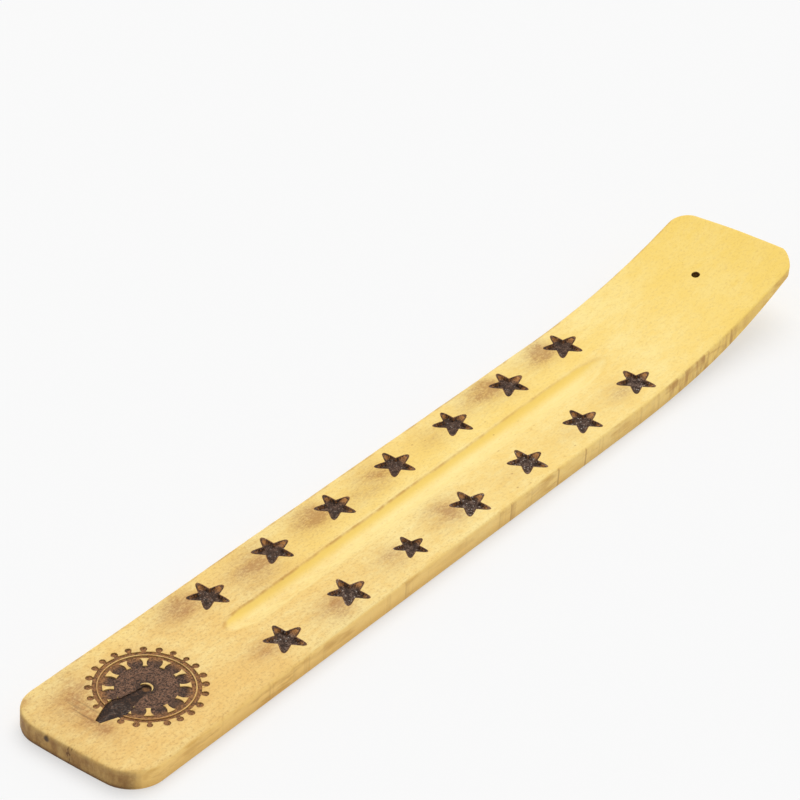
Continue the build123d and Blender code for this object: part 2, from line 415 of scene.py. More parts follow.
def choose(piece, kind, test):
    """In edit mode, select only the vertices, edges or faces that pass a test."""
    bpy.ops.mesh.select_all(action="DESELECT")
    mesh = bmesh.from_edit_mesh(piece.data)
    mesh.normal_update()
    for item in getattr(mesh, kind):
        if test(item):
            item.select_set(True)
    mesh.select_flush_mode()
    bmesh.update_edit_mesh(piece.data)


def slice_across(axis, places):
    """In edit mode, cut the whole mesh by planes square to an axis."""
    normal = Vector((0, 0, 0))
    normal[axis] = 1
    for place in places:
        bpy.ops.mesh.select_all(action="SELECT")
        bpy.ops.mesh.bisect(plane_co=normal * place, plane_no=normal)


def steps(low, high, spacing):
    """Evenly spaced values between two limits, without the limits."""
    count = max(round((high - low) / spacing), 1)
    return [low + (high - low) * number / count for number in range(1, count)]


def fine_mesh(piece, spacing):
    """Cut a piece into small cells along its length and width."""
    corners = [Vector(corner) for corner in piece.bound_box]
    with editing(piece, "FACE"):
        for axis in (0, 1):
            places = [corner[axis] for corner in corners]
            slice_across(axis, steps(min(places), max(places), spacing))


def smooth_by_angle(piece, degrees):
    """Shade smooth where faces meet under an angle."""
    make_active(piece)
    bpy.ops.object.shade_smooth_by_angle(angle=math.radians(degrees))


def paint(piece, name, values):
    """Keep one number for each vertex under a name."""
    layer = piece.data.attributes.new(name, "FLOAT", "POINT")
    layer.data.foreach_set("value", values)


def crumble(point, coarse, fine):
    """Rough height between -1 and 1, of coarse and fine noise."""
    return 0.6 * noise.noise(point * coarse) + 0.4 * noise.noise(point * fine)


def blend_step(low, high, value):
    """0 below low, 1 above high and a smooth change between them."""
    share = min(max((value - low) / (high - low), 0), 1)
    return share * share * (3 - 2 * share)


class NodeTree:
    """Adds nodes to a material or to a node group."""

    def __init__(self, tree):
        self.tree = tree

    def add(self, kind, inputs=None, **settings):
        """A new node with its settings, and with values or links on its inputs."""
        node = self.tree.nodes.new(kind)
        for name, value in settings.items():
            setattr(node, name, value)
        for key, value in (inputs or {}).items():
            if isinstance(value, bpy.types.NodeSocket):
                self.tree.links.new(value, node.inputs[key])
            else:
                node.inputs[key].default_value = value
        return node

    def calculate(self, operation, first, second=0.0, clamp=False):
        """Output of a math node."""
        inputs = {0: first, 1: second}
        return self.add("ShaderNodeMath", inputs, operation=operation, use_clamp=clamp).outputs[0]

    def times(self, product, *others):
        """Product of values."""
        for other in others:
            product = self.calculate("MULTIPLY", product, other)
        return product

    def larger(self, first, second):
        """Larger of two values."""
        return self.calculate("MAXIMUM", first, second)

    def apart(self, first, second):
        """How far apart two values lie."""
        return self.calculate("ABSOLUTE", self.calculate("SUBTRACT", first, second))

    def vector(self, operation, first, second=(0, 0, 0), result="Vector"):
        """Output of a vector math node."""
        inputs = {0: first, 1: second}
        return self.add("ShaderNodeVectorMath", inputs, operation=operation).outputs[result]

    def remap(self, value, low, high, to_low=0.0, to_high=1.0):
        """A value moved smoothly from one range to another."""
        inputs = {"Value": value, "From Min": low, "From Max": high, "To Min": to_low, "To Max": to_high}
        return self.add("ShaderNodeMapRange", inputs, interpolation_type="SMOOTHSTEP").outputs["Result"]

    def mix(self, share, first, second):
        """Two colours mixed by a share."""
        inputs = {0: share, 6: first, 7: second}
        return self.add("ShaderNodeMix", inputs, data_type="RGBA", clamp_factor=True).outputs[2]

    def attribute(self, name):
        """Number that was painted on the mesh under a name."""
        return self.add("ShaderNodeAttribute", attribute_name=name).outputs["Fac"]

    def stretched(self, vector, scale):
        """Coordinates scaled along each axis."""
        return self.add("ShaderNodeMapping", {"Vector": vector, "Scale": scale}).outputs["Vector"]

    def cloud(self, vector, scale, detail=3.0, roughness=0.55):
        """Noise on coordinates."""
        inputs = {"Vector": vector, "Scale": scale, "Detail": detail, "Roughness": roughness}
        return self.add("ShaderNodeTexNoise", inputs).outputs["Fac"]

    def grainy(self, broad, fine):
        """Two parts of broad noise with three of fine."""
        return self.calculate("ADD", self.times(broad, 0.4), self.times(fine, 0.6))

    def rare_dots(self, vector, scale, channel, rarity, size):
        """Dots in a few cells of a pattern of cells, and the distance from the middle of every cell."""
        cells = self.add("ShaderNodeTexVoronoi", {"Vector": vector, "Scale": scale}).outputs
        lot = self.add("ShaderNodeSeparateColor", {"Color": cells["Color"]}).outputs[channel]
        dots = self.remap(cells["Distance"], *size)
        return self.times(self.remap(lot, *rarity), dots), cells["Distance"]


class Finish(NodeTree):
    """A material that is built up in coats of colour, on the piece's own coordinates."""

    def __init__(self, name, colours):
        self.material = bpy.data.materials.new(name)
        self.material.use_nodes = True
        super().__init__(self.material.node_tree)
        self.colours = colours
        self.shader = self.tree.nodes["Principled BSDF"]
        self.place = self.tree.nodes.new("ShaderNodeTexCoord").outputs["Object"]
        self.surface = None

    def colour(self, name):
        """A named colour as plain numbers."""
        return tuple(getattr(self.colours, name))

    def start(self, share, first, second):
        """Begin the surface with two named colours, mixed by a share."""
        self.surface = self.mix(share, self.colour(first), self.colour(second))

    def coat(self, share, name):
        """Lay a named colour over the surface, by a share."""
        self.surface = self.mix(share, self.surface, self.colour(name))

    def streaky(self, stretch, scale, detail=3.0, roughness=0.55):
        """Noise on the piece that is stretched along some axes."""
        return self.cloud(self.stretched(self.place, stretch), scale, detail, roughness)

    def axis(self, name):
        """Place along one axis of the piece."""
        return self.add("ShaderNodeSeparateXYZ", {"Vector": self.place}).outputs[name]

    def over(self, axis, stretch, to_low=0.0, to_high=1.0):
        """A value that changes smoothly over a stretch of one axis."""
        return self.remap(self.axis(axis), *stretch, to_low, to_high)

    def group(self, group, **inputs):
        """Outputs of a shared node group on the piece."""
        return self.add("ShaderNodeGroup", {"Vector": self.place, **inputs}, node_tree=group).outputs

    def complete(self, roughness, specular, height, strength, distance):
        """The material, with its surface linked and with its gloss and its small relief."""
        relief = self.add("ShaderNodeBump", {"Height": height, "Strength": strength, "Distance": distance})
        links = {"Base Color": self.surface, "Roughness": roughness, "Normal": relief.outputs["Normal"]}
        for socket, value in links.items():
            self.tree.links.new(value, self.shader.inputs[socket])
        self.shader.inputs["Specular IOR Level"].default_value = specular
        return self.material


def shared_group(name, inputs, outputs, fill):
    """A shader node group with named sockets, which is filled the first time that it is asked for."""
    if name not in bpy.data.node_groups:
        group = bpy.data.node_groups.new(name, "ShaderNodeTree")
        for socket, kind in inputs.items():
            group.interface.new_socket(socket, in_out="INPUT", socket_type=kind)
        for socket in outputs:
            group.interface.new_socket(socket, in_out="OUTPUT", socket_type="NodeSocketFloat")
        given = group.nodes.new("NodeGroupInput").outputs
        end = group.nodes.new("NodeGroupOutput")
        for socket, value in zip(outputs, fill(NodeTree(group), given)):
            group.links.new(value, end.inputs[socket])
    return bpy.data.node_groups[name]


def fill_grain(nodes, given):
    """Fibres that run along the board, its pores, and the height of both."""
    vector = given["Vector"]
    wander = nodes.add("ShaderNodeTexNoise", {"Vector": vector, "Scale": 35.0, "Detail": 1.0})
    bent = nodes.vector("MULTIPLY", wander.outputs["Color"], (0.0, 0.0016, 0.0016))
    along = nodes.vector("ADD", vector, bent)
    broad = nodes.cloud(nodes.stretched(along, (1.0, 9.0, 9.0)), 90.0)
    fine = nodes.cloud(nodes.stretched(along, (1.0, 5.0, 5.0)), 700.0, 3.0, 0.65)
    fibre = nodes.grainy(broad, fine)
    spread = nodes.stretched(along, (0.6, 1.0, 1.0))
    pores, _ = nodes.rare_dots(spread, 900.0, "Red", rarity=(0.88, 1.0), size=(0.3, 0.12))
    return fibre, pores, nodes.calculate("SUBTRACT", fibre, pores)


def grain_group():
    """Node group of the wood's grain."""
    inputs = {"Vector": "NodeSocketVector"}
    return shared_group("Wood grain", inputs, ("Fibre", "Pores", "Height"), fill_grain)


def fill_crumbs(nodes, given):
    """Mottled burnt wood, the shiny specks on it, and the height of its crumbs."""
    inputs = {0: given["Vector"], "Scale": given["Scale"]}
    vector = nodes.add("ShaderNodeVectorMath", inputs, operation="SCALE").outputs[0]
    grit = nodes.cloud(vector, 2.2, 3.0, 0.7)
    mottle = nodes.grainy(nodes.cloud(vector, 0.6, 2.0), grit)
    specks, distance = nodes.rare_dots(vector, 1.7, "Green", rarity=(0.84, 0.94), size=(0.55, 0.25))
    return mottle, specks, nodes.calculate("SUBTRACT", grit, distance)


def char_group():
    """Node group of the char's crumbs."""
    inputs = {"Vector": "NodeSocketVector", "Scale": "NodeSocketFloat"}
    return shared_group("Char crumbs", inputs, ("Mottle", "Specks", "Height"), fill_crumbs)


# Places along the board, x, between which a finish of the wood comes or goes
HANDLED_X = (-0.13, 0.05)
ROUGH_X = (-0.13, 0.06)
LEFT_ROW_X = (-0.075, -0.03)
GOLDEN_X = (0.05, 0.125)
LIP_SHADE_X = (0.06, -0.02)
PORES_X = (0.07, 0.03)
AGED_SIDE_X = (-0.06, 0.05)
CHATTER_START_X = (0.062, 0.076)
CHATTER_END_X = (0.114, 0.098)

# The same across the board, y, and up from the floor, z
PALE_EDGE_Y = (0.0115, 0.0175)
LEFT_ROW_START_Y = (0.003, 0.005)
LEFT_ROW_END_Y = (0.022, 0.01)
GROOVE_WALL_Y = (0.0002, 0.0027)
# Painted shade along the left edge of the top
SHADED_EDGE_Y = (0.018, 0.0189)
# Where the sides darken towards the bottom
DARKER_SIDE_BOTTOM_Z = (0.004, 0.0012)
# Painted light towards the top of the end grain
LIT_END_Z = (0.0058, 0.004)
# Painted shade along the bottom of the plain end
SHADED_END_Z = (0.0018, 0.0006)

# How far to each side the crack in the end grain wanders, and where it fades out
END_CRACK_Y = (-0.0012, 0.0008)
END_CRACK_EDGE = (0.0004, 0.0001)

# Middle of a small knot in the plain end, and where it fades out
KNOT = (-0.1333, 0.0064, 0.0042)
KNOT_EDGE = (0.0011, 0.0005)

# Places along the board of short cracks in its sides, and where a crack fades out
SIDE_CRACKS = (0.0049, 0.0245, 0.0361)
CRACK_EDGE = (0.0005, 0.0001)

# Largest share of smoke over the wood
MOST_SMOKE = 0.66


def coat_top(wood, fibre, blotch):
    """Pale wood in the middle, warm at the plain end, golden at the raised end and by the left row."""
    tone = wood.streaky((0.6, 1.0, 1.0), 80.0)
    shade = wood.calculate("ADD", tone, wood.times(blotch, 0.6))
    shade = wood.calculate("ADD", shade, wood.times(fibre, 0.5))
    wood.start(wood.remap(shade, 0.75, 1.35), "wood_pale", "wood_deep")
    handled = wood.times(
        wood.over("X", HANDLED_X, 0.68, 0.0),
        wood.remap(shade, 0.7, 1.3, 0.4, 1.0),
        wood.over("Y", PALE_EDGE_Y, 1.0, 0.55),
    )
    wood.coat(handled, "wood_warm")
    left_row = wood.times(
        wood.over("Y", LEFT_ROW_START_Y),
        wood.over("Y", LEFT_ROW_END_Y),
        wood.over("X", LEFT_ROW_X, 0.0, 0.5),
    )
    golden = wood.larger(wood.over("X", GOLDEN_X), left_row)
    wood.coat(wood.times(golden, wood.remap(shade, 0.7, 1.3, 0.7, 1.0)), "wood_gold")
    grit = wood.streaky((0.75, 1.0, 1.0), 1500.0, 4.0, 0.7)
    speckle = wood.times(wood.remap(grit, 0.46, 0.72), wood.over("X", ROUGH_X, 0.5, 0.2))
    wood.coat(speckle, "wood_fleck")


def coat_groove(wood, blotch):
    """Painted shade on the left wall, painted light on the floor and a broken line of painted shade along the
    left edge of the groove.
    """
    cut = wood.attribute("groove")
    left = wood.over("Y", GROOVE_WALL_Y)
    inside = wood.remap(cut, 0.0, 0.5)
    wall = wood.times(inside, left)
    # Painted shade: the left wall is tinted golden, as if shaded and lit by light thrown back from the yellow
    # wood
    wood.coat(wood.times(wall, 0.85), "wood_gold")
    floor = wood.calculate("SUBTRACT", inside, wall)
    # Painted light: the floor of the groove is paler, as if it were lit more than the top
    wood.coat(wood.times(floor, wood.remap(blotch, 0.35, 0.65, 0.2, 0.7)), "wood_pale")
    # Painted shade: a broken dark line along the left edge, which fades towards the raised end
    edge = wood.remap(wood.apart(cut, 0.12), 0.4, 0.0)
    broken = wood.remap(wood.streaky((1.0, 0.1, 0.1), 260.0), 0.35, 0.65, 0.1, 0.7)
    worn = wood.over("X", LIP_SHADE_X, 0.3, 1.0)
    wood.coat(wood.times(edge, broken, worn, left), "wood_lip")


def coat_pores(wood, pores):
    """Patches of dark pores, fewer towards the raised end."""
    patches = wood.remap(wood.cloud(wood.place, 70.0, 2.0), 0.45, 0.65, 0.0, 0.6)
    wood.coat(wood.times(pores, patches, wood.over("X", PORES_X)), "wood_fleck")


def coat_smoke(wood):
    """Smoke beside the marks, painted shade along the left edge and rubbed scratches by the leaf."""
    soot = wood.streaky((0.6, 1.0, 1.0), 1700.0, 4.0, 0.75)
    drift = wood.streaky((0.5, 1.0, 1.0), 300.0, 3.0, 0.6)
    smoke = wood.times(
        wood.attribute("scorch"),
        wood.remap(soot, 0.37, 0.63, 0.52, 1.02),
        wood.remap(drift, 0.35, 0.65, 0.65, 1.12),
    )
    smoke = wood.calculate("MINIMUM", smoke, MOST_SMOKE)
    # Painted shade along the rounded left edge of the top, in the colour of the smoke
    edge_shade = wood.times(wood.over("Y", SHADED_EDGE_Y, 0.0, 0.5), wood.remap(drift, 0.4, 0.6))
    wood.coat(wood.larger(smoke, edge_shade), "scorch")
    rubbed = wood.remap(wood.streaky((1.0, 0.045, 1.0), 1200.0), 0.5, 0.6)
    wood.coat(wood.times(wood.attribute("scratch"), rubbed), "burnt_edge")


def coat_sides(wood):
    """Sawn sides, streaked and darker towards the bottom, with saw lines, chatter and short cracks."""
    sawn = wood.attribute("sawn_side")
    wood.coat(wood.times(sawn, wood.over("X", AGED_SIDE_X, 0.8, 0.4)), "wood_side")
    streaks = wood.remap(wood.streaky((0.2, 1.0, 1.0), 420.0, 4.0, 0.6), 0.44, 0.66, 0.0, 0.6)
    stained = wood.remap(wood.cloud(wood.place, 55.0, 2.0), 0.4, 0.62, 0.3, 1.0)
    # Streaks of stain, together with a darkening towards the bottom of the sides
    stains = wood.larger(wood.times(streaks, stained), wood.over("Z", DARKER_SIDE_BOTTOM_Z, 0.0, 0.3))
    wood.coat(wood.times(sawn, stains), "wood_lip")
    chatter = wood.remap(wood.streaky((1.0, 0.05, 0.2), 480.0, 2.0, 0.6), 0.4, 0.66, 0.0, 0.55)
    bumpy = wood.times(wood.over("X", CHATTER_START_X), wood.over("X", CHATTER_END_X))
    wood.coat(wood.times(sawn, chatter, bumpy), "scorch")
    lines = wood.remap(wood.streaky((1.0, 0.05, 0.04), 260.0, 3.0, 0.7), 0.52, 0.78, 0.0, 0.5)
    for crack in SIDE_CRACKS:
        lines = wood.larger(lines, wood.remap(wood.apart(wood.axis("X"), crack), *CRACK_EDGE, 0.0, 0.6))
    wood.coat(wood.times(sawn, lines), "wood_fleck")


def coat_ends(wood):
    """End grain with a crack and a knot, with painted light towards its top and painted shade along the
    bottom of the plain end.
    """
    end_grain = wood.attribute("end_grain")
    rings = wood.streaky((1.0, 1.0, 0.5), 330.0, 4.0, 0.65)
    ringed = wood.remap(rings, 0.3, 0.7, 0.6, 1.0)
    # Painted light: the end grain is paler towards the top, where its rounded edge would catch more light
    wood.coat(wood.times(end_grain, ringed, wood.over("Z", LIT_END_Z, 0.6, 1.0)), "wood_end")
    from_crack = wood.apart(wood.axis("Y"), wood.remap(rings, 0.3, 0.7, *END_CRACK_Y))
    wood.coat(wood.times(end_grain, wood.remap(from_crack, *END_CRACK_EDGE, 0.0, 0.7)), "burnt_edge")
    from_knot = wood.vector("DISTANCE", wood.place, KNOT, "Value")
    wood.coat(wood.remap(from_knot, *KNOT_EDGE, 0.0, 0.85), "char_black")
    # Painted shade along the bottom of the plain end, where it meets the floor
    wood.coat(wood.times(end_grain, wood.over("Z", SHADED_END_Z, 0.0, 0.75)), "burnt_edge")


def pale_wood(colours):
    """Sanded pale wood with flecks, smoke stains, burnt edges, sawn sides and end grain."""
    wood = Finish("pale_wood", colours)
    grain = wood.group(grain_group())
    blotch = wood.streaky((0.55, 1.0, 1.0), 520.0, 4.0, 0.65)
    coat_top(wood, grain["Fibre"], blotch)
    coat_groove(wood, blotch)
    coat_pores(wood, grain["Pores"])
    coat_smoke(wood)
    coat_sides(wood)
    coat_ends(wood)
    # Burnt walls of the pits, and scorch with painted shade in the stick hole
    wood.coat(wood.attribute("burn"), "burnt_edge")
    roughness = wood.remap(grain["Fibre"], 0.2, 0.8, 0.5, 0.68)
    return wood.complete(roughness, specular=0.3, height=grain["Height"], strength=0.45, distance=0.00012)


def star_char(colours):
    """Charcoal with painted glints of shiny flakes on a star's floor, browner walls and singed points."""
    char = Finish("star_char", colours)
    crumbs = char.group(char_group(), Scale=1300.0)
    mottle, specks = crumbs["Mottle"], crumbs["Specks"]
    singe = char.attribute("singe")
    ragged = char.remap(mottle, 0.3, 0.7, -0.22, 0.22)
    char.start(char.remap(mottle, 0.42, 0.7, 0.0, 0.6), "char_black", "char_brown")
    char.coat(char.remap(char.calculate("ADD", char.attribute("wall"), ragged), 0.1, 0.8), "char_wall")
    char.coat(char.remap(char.calculate("ADD", singe, ragged), 0.2, 1.0), "char_ember")
    deep = char.calculate("SUBTRACT", 1.0, singe, clamp=True)
    # Painted glints: light grey laid on flakes and mottle where shiny char would reflect the light, kept
    # under the name ash
    flakes = char.larger(specks, char.remap(mottle, 0.48, 0.66, 0.0, 0.3))
    char.coat(char.times(flakes, char.attribute("ash"), deep), "char_speck")
    roughness = char.remap(specks, 0.0, 0.6, 0.8, 0.4)
    return char.complete(roughness, specular=0.2, height=crumbs["Height"], strength=0.6, distance=0.0002)


# Where the dark of the petals begins and ends and where the rim is singed, out from the ring that
# bounds the petals, and where the dark round the medallion's eye and the leaf's own eye fade out
PETALS_START = (-0.0034, -0.0022)
PETALS_END = (0.0001, -0.0007)
SINGED_RIM = (-0.0014, 0.0006)
DARK_EYE = (0.0031, 0.002)
LEAF_EYE = (0.0013, 0.0007)

# Share of its own light on the floor, as the camera sees it
FLOOR_GLOW = 0.6


def medallion_char(colours, centre, marks):
    """Stippled brown char, blacker on the petals and round the eye, and singed towards the rim."""
    char = Finish("medallion_char", colours)
    crumbs = char.group(char_group(), Scale=3000.0)
    mottle = crumbs["Mottle"]
    flat = char.vector("MULTIPLY", char.vector("SUBTRACT", char.place, centre), (1, 1, 0))
    reach = char.vector("LENGTH", flat, result="Value")
    bound = marks.rim_radius - marks.rim_width - marks.plain_line - marks.inner_ring
    past = char.calculate("SUBTRACT", reach, bound)
    char.start(char.remap(mottle, 0.45, 0.57), "char_black", "char_brown")
    petal = char.times(
        char.remap(past, *PETALS_START),
        char.remap(past, *PETALS_END),
        char.remap(char.cloud(char.place, 450.0, 2.0), 0.35, 0.6, 0.0, 0.6),
    )
    char.coat(char.larger(petal, char.remap(reach, *DARK_EYE, 0.0, 0.7)), "char_black")
    singed = char.remap(past, *SINGED_RIM, 0.0, 0.78)
    char.coat(char.times(singed, char.remap(mottle, 0.36, 0.64, 0.1, 1.0)), "char_ember")
    # Painted glints: light grey specks that stand for light glinting off the stippled char
    char.coat(char.times(crumbs["Specks"], 0.28), "char_speck")
    roughness = char.remap(mottle, 0.3, 0.7, 0.65, 0.85)
    return char.complete(roughness, specular=0.2, height=crumbs["Height"], strength=0.7, distance=0.00015)


def leaf_char(colours, eye_place):
    """Deep charcoal with painted highlights on its ridges and a singed eye."""
    char = Finish("leaf_char", colours)
    crumbs = char.group(char_group(), Scale=1700.0)
    mottle = crumbs["Mottle"]
    char.start(char.remap(mottle, 0.48, 0.62, 0.0, 0.35), "char_leaf", "char_brown")
    # Painted highlight: the curled ridge is paler, as if it caught the light
    char.coat(char.times(char.attribute("ridge"), char.remap(mottle, 0.4, 0.6, 0.04, 0.22)), "char_speck")
    eye = char.remap(char.vector("DISTANCE", char.place, eye_place, "Value"), *LEAF_EYE)
    char.coat(char.times(eye, char.remap(mottle, 0.35, 0.6, 0.05, 0.4)), "char_ember")
    roughness = char.remap(mottle, 0.3, 0.7, 0.5, 0.75)
    return char.complete(roughness, specular=0.15, height=crumbs["Height"], strength=0.5, distance=0.00012)


def pale_floor(colours):
    """Plain pale ground that the camera sees a little whiter than it is."""
    ground = Finish("floor", colours)
    tint = ground.colour("floor")
    for socket, value in (("Base Color", tint), ("Roughness", 1.0), ("Specular IOR Level", 0.0)):
        ground.shader.inputs[socket].default_value = value
    white = ground.add("ShaderNodeEmission", {"Color": tint}).outputs[0]
    seen = ground.add("ShaderNodeLightPath").outputs["Is Camera Ray"]
    inputs = {0: ground.times(seen, FLOOR_GLOW), 1: ground.shader.outputs[0], 2: white}
    mixed = ground.add("ShaderNodeMixShader", inputs).outputs[0]
    ground.tree.links.new(mixed, ground.tree.nodes["Material Output"].inputs["Surface"])
    return ground.material


def finish_piece(piece, material, nodes):
    """Give a piece its material and its place in the part."""
    piece.data.materials.clear()
    piece.data.materials.append(material)
    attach(piece, BODY)
    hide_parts(*nodes)


def star_nodes():
    """Names of the star nodes, row by row from the plain end."""
    return [f"star_char_{row}_{number}" for row in ROWS for number in range(1, STARS_IN_A_ROW + 1)]


def star_place(node, form):
    """Axes and scaling of a star, from the box of its node."""
    low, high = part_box(node)
    back = math.cos(math.pi / STAR_POINTS)
    x = low.x + (high.x - low.x) * back / (1 + back)
    y = (low.y + high.y) / 2
    widest = 2 * NODE_STAR_RADIUS * math.sin(2 * math.pi / STAR_POINTS)
    scale = round((high.y - low.y) / widest, 2)
    return form.plane(x, y), Matrix.Diagonal((scale, scale, 1, 1))


def star_shrink(marks, inset):
    """Scale that draws every side of a star in by a distance."""
    step = math.pi / STAR_POINTS
    radius, waist = marks.star_radius, marks.star_waist
    side = math.hypot(radius - waist * math.cos(step), waist * math.sin(step))
    return 1 - inset * side / (radius * waist * math.sin(step))


def grow_chosen(scale):
    """Scale what is selected about the origin, along x and y."""
    bpy.ops.transform.resize(value=(scale, scale, 1), center_override=(0, 0, 0))


def push_in(depth):
    """Extrude the selected face straight down."""
    bpy.ops.mesh.extrude_region_move(TRANSFORM_OT_translate={"value": (0, 0, -depth)})


def star_plate(name, marks):
    """Flat star with bowed sides and blunt points, one of them along x."""
    bpy.ops.object.select_all(action="DESELECT")
    corners = 4 * STAR_POINTS
    bpy.ops.mesh.primitive_circle_add(
        vertices=corners, radius=marks.star_radius, fill_type="NGON", rotation=(0, 0, -math.pi / 2)
    )
    plate = settle(name)
    step = 2 * math.pi / corners
    waist = Vector((marks.star_waist * math.cos(2 * step), marks.star_waist * math.sin(2 * step)))
    tip = Vector((marks.star_radius, 0))
    side = tip.cross(waist) / (math.sin(step) * (tip.x - waist.x) + math.cos(step) * waist.y)
    reaches = {1: abs(side) + marks.star_bulge, 2: marks.star_waist, 3: abs(side) + marks.star_bulge}
    with editing(plate, "VERT"):
        for turn, reach in reaches.items():
            choose(plate, "verts", lambda v: round(math.atan2(v.co.y, v.co.x) / step) % 4 == turn)
            grow_chosen(reach / marks.star_radius)
        choose(plate, "verts", lambda v: v.co.length > marks.star_radius * 0.9)
        bpy.ops.mesh.bevel(affect="VERTICES", offset=marks.star_tip, segments=5)
    return plate


def star_plug(marks):
    """Solid star with sloping sides that stands out of the wood, to cut a pit with."""
    plug = star_plate("star_plug", marks)
    slope = math.tan(marks.star_draft)
    mouth = star_shrink(marks, -OVERCUT * slope)
    floor = star_shrink(marks, marks.star_depth * slope)
    with editing(plug, "FACE"):
        bpy.ops.mesh.select_all(action="SELECT")
        grow_chosen(mouth)
        bpy.ops.transform.translate(value=(0, 0, OVERCUT))
        push_in(OVERCUT + marks.star_depth)
        grow_chosen(floor / mouth)
        bpy.ops.mesh.select_all(action="SELECT")
        bpy.ops.mesh.normals_make_consistent(inside=False)
    return plug


def star_dish(marks):
    """Hollow star of char that lines a pit."""
    dish = star_plate("star_dish", marks)
    slope = math.tan(marks.star_draft)
    floor = star_shrink(marks, marks.star_depth * slope)
    mouth = star_shrink(marks, marks.char_thickness)
    hollow_depth = marks.star_depth - marks.char_thickness
    hollow_floor = star_shrink(marks, marks.char_thickness + hollow_depth * slope)
    with editing(dish, "FACE"):
        bpy.ops.mesh.select_all(action="SELECT")
        push_in(marks.star_depth)
        grow_chosen(floor)
        bpy.ops.mesh.select_all(action="SELECT")
        bpy.ops.mesh.normals_make_consistent(inside=False)
        choose(dish, "faces", lambda f: f.calc_center_median().z > -marks.char_thickness / 2)
        push_in(0)
        grow_chosen(mouth)
        push_in(hollow_depth)
        grow_chosen(hollow_floor / mouth)
    fine_mesh(dish, CHAR_CELL)
    return dish


# Along a star, where its floor begins to slope up towards one point and where it ends, and where
# light singeing of the other points becomes stronger
STAR_SLOPE = (0.001, 0.005)
STRONGER_SINGE = (-0.0005, 0.0012)

# Out from a star's centre, where its points rise and where they are singed
POINTS_RISE = (0.0031, 0.005)
POINTS_SINGE = (0.0022, 0.0046)

# Share of its depth that a star loses at the end of its slope and at its points
SLOPE_RISE = 0.75
POINTS_LIFT = 0.4

# Share of singeing that the outline of a star keeps, and share at the end of its slope
OUTLINE_SINGE = 0.4
SLOPE_SINGE = 0.95

# How far up a face has to look to be crumbled, and where a star's walls turn into its floor
UPWARD = 0.05
WALL_TO_FLOOR = (0.55, 0.95)

# Height of the crumbs on a star's floor and of the stipple on the medallion
CRUMB_HEIGHT = 0.00024
STIPPLE_HEIGHT = 0.00012


def roughen_star(star, place, form, marks, seed, ash):
    """Crumble the floor of a star, slope it up towards one point and lay the star on the hand-sanded top."""
    inverse = place.inverted()
    turn = inverse.to_3x3()
    normals = [turn @ vertex.normal for vertex in star.data.vertices]
    walls, singes = [], []
    for vertex, normal in zip(star.data.vertices, normals):
        local = inverse @ vertex.co
        point = Vector((local.x * 1000, local.y * 1000, seed))
        outline = OUTLINE_SINGE if local.z > -marks.char_thickness / 4 else 1
        slope = blend_step(*STAR_SLOPE, local.x)
        ends = blend_step(*POINTS_RISE, local.xy.length)
        if normal.z > UPWARD:
            depth = min(-local.z / (marks.star_depth - marks.char_thickness), 1)
            crumbs = crumble(point, 1.1, 2.7)
            local.z *= 1 - max(SLOPE_RISE * slope, POINTS_LIFT * ends)
            local.z += CRUMB_HEIGHT * crumbs * max(depth, 0) * (1 - slope)
        vertex.co = place @ local
        vertex.co.z += form.uneven(vertex.co.x, vertex.co.y)
        walls.append(1 - blend_step(*WALL_TO_FLOOR, normal.z))
        lightly = 0.2 + 0.65 * blend_step(*STRONGER_SINGE, local.x)
        lightly *= blend_step(*POINTS_SINGE, local.xy.length)
        singes.append(outline * max(SLOPE_SINGE * slope, lightly))
    paint(star, "wall", walls)
    paint(star, "singe", singes)
    # Share of painted glints on the char, kept under the name ash
    paint(star, "ash", [ash] * len(walls))


def medallion_centre(board, marks):
    """Middle of the medallion on the top."""
    return Vector((board.near_end + marks.medallion_from_end, marks.medallion_offset, board.thickness))


def narrow_end(block, x, y, scale):
    """Narrow the end of a block that lies at x."""
    with editing(block, "VERT"):
        choose(block, "verts", lambda v: abs(v.co.x - x) < OVERCUT / 10)
        bpy.ops.transform.resize(value=(1, scale, 1), center_override=(x, y, 0))


def leaf_block(centre, marks, low, high):
    """Oval leaf with a blunt tip, a stem and a round eye, as a solid that stands out of the wood."""
    middle = centre.x - marks.leaf_from_centre
    leaf = add_drum("leaf", (middle, centre.y), marks.leaf_body, low, high, sides=64)
    with editing(leaf, "VERT"):
        bpy.ops.mesh.select_all(action="SELECT")
        stretch = marks.leaf_length / marks.leaf_body
        bpy.ops.transform.resize(value=(stretch, 1, 1), center_override=(middle, centre.y, 0))
    along = (marks.leaf_shoulder - marks.leaf_from_centre) / marks.leaf_length
    half = marks.leaf_body * math.sqrt(1 - along**2)
    end, start = centre.x - marks.leaf_reach, centre.x - marks.leaf_shoulder
    tip = add_block("leaf_tip", (end, centre.y - half, low), (start, centre.y + half, high))
    narrow_end(tip, end, centre.y, marks.leaf_blunt / half)
    half = marks.leaf_neck / 2
    eye_x = centre.x - marks.eye_offset
    stem = add_block("stem", (middle, centre.y - half, low), (eye_x, centre.y + half, high))
    narrow_end(stem, eye_x, centre.y, marks.leaf_stem / marks.leaf_neck)
    eye = add_drum("eye", (eye_x, centre.y), marks.leaf_eye, low, high, sides=40)
    return fuse(leaf, (tip, stem, eye))


def rim_block(centre, marks, low, high):
    """Beaded ring, as a solid that stands out of the wood."""
    inside = marks.rim_radius - marks.rim_width
    rim = add_drum("rim", centre, marks.rim_radius, low, high, sides=RING_SIDES)
    hollow = add_drum("rim_inside", centre, inside, low - OVERCUT, high + OVERCUT, sides=RING_SIDES)
    combine(rim, "DIFFERENCE", hollow)
    half = marks.bead_neck / 2
    inward = marks.bead_stand_off + marks.rim_width / 2
    bead = add_drum("bead", (0, 0), marks.bead_radius, low, high, sides=20)
    fuse(bead, [add_block("neck", (-inward, -half, low), (0, half, high))])
    reach = marks.rim_radius + marks.bead_stand_off
    return fuse(rim, [ring_of(bead, marks.bead_count, centre, reach, BEAD_STRAY)])


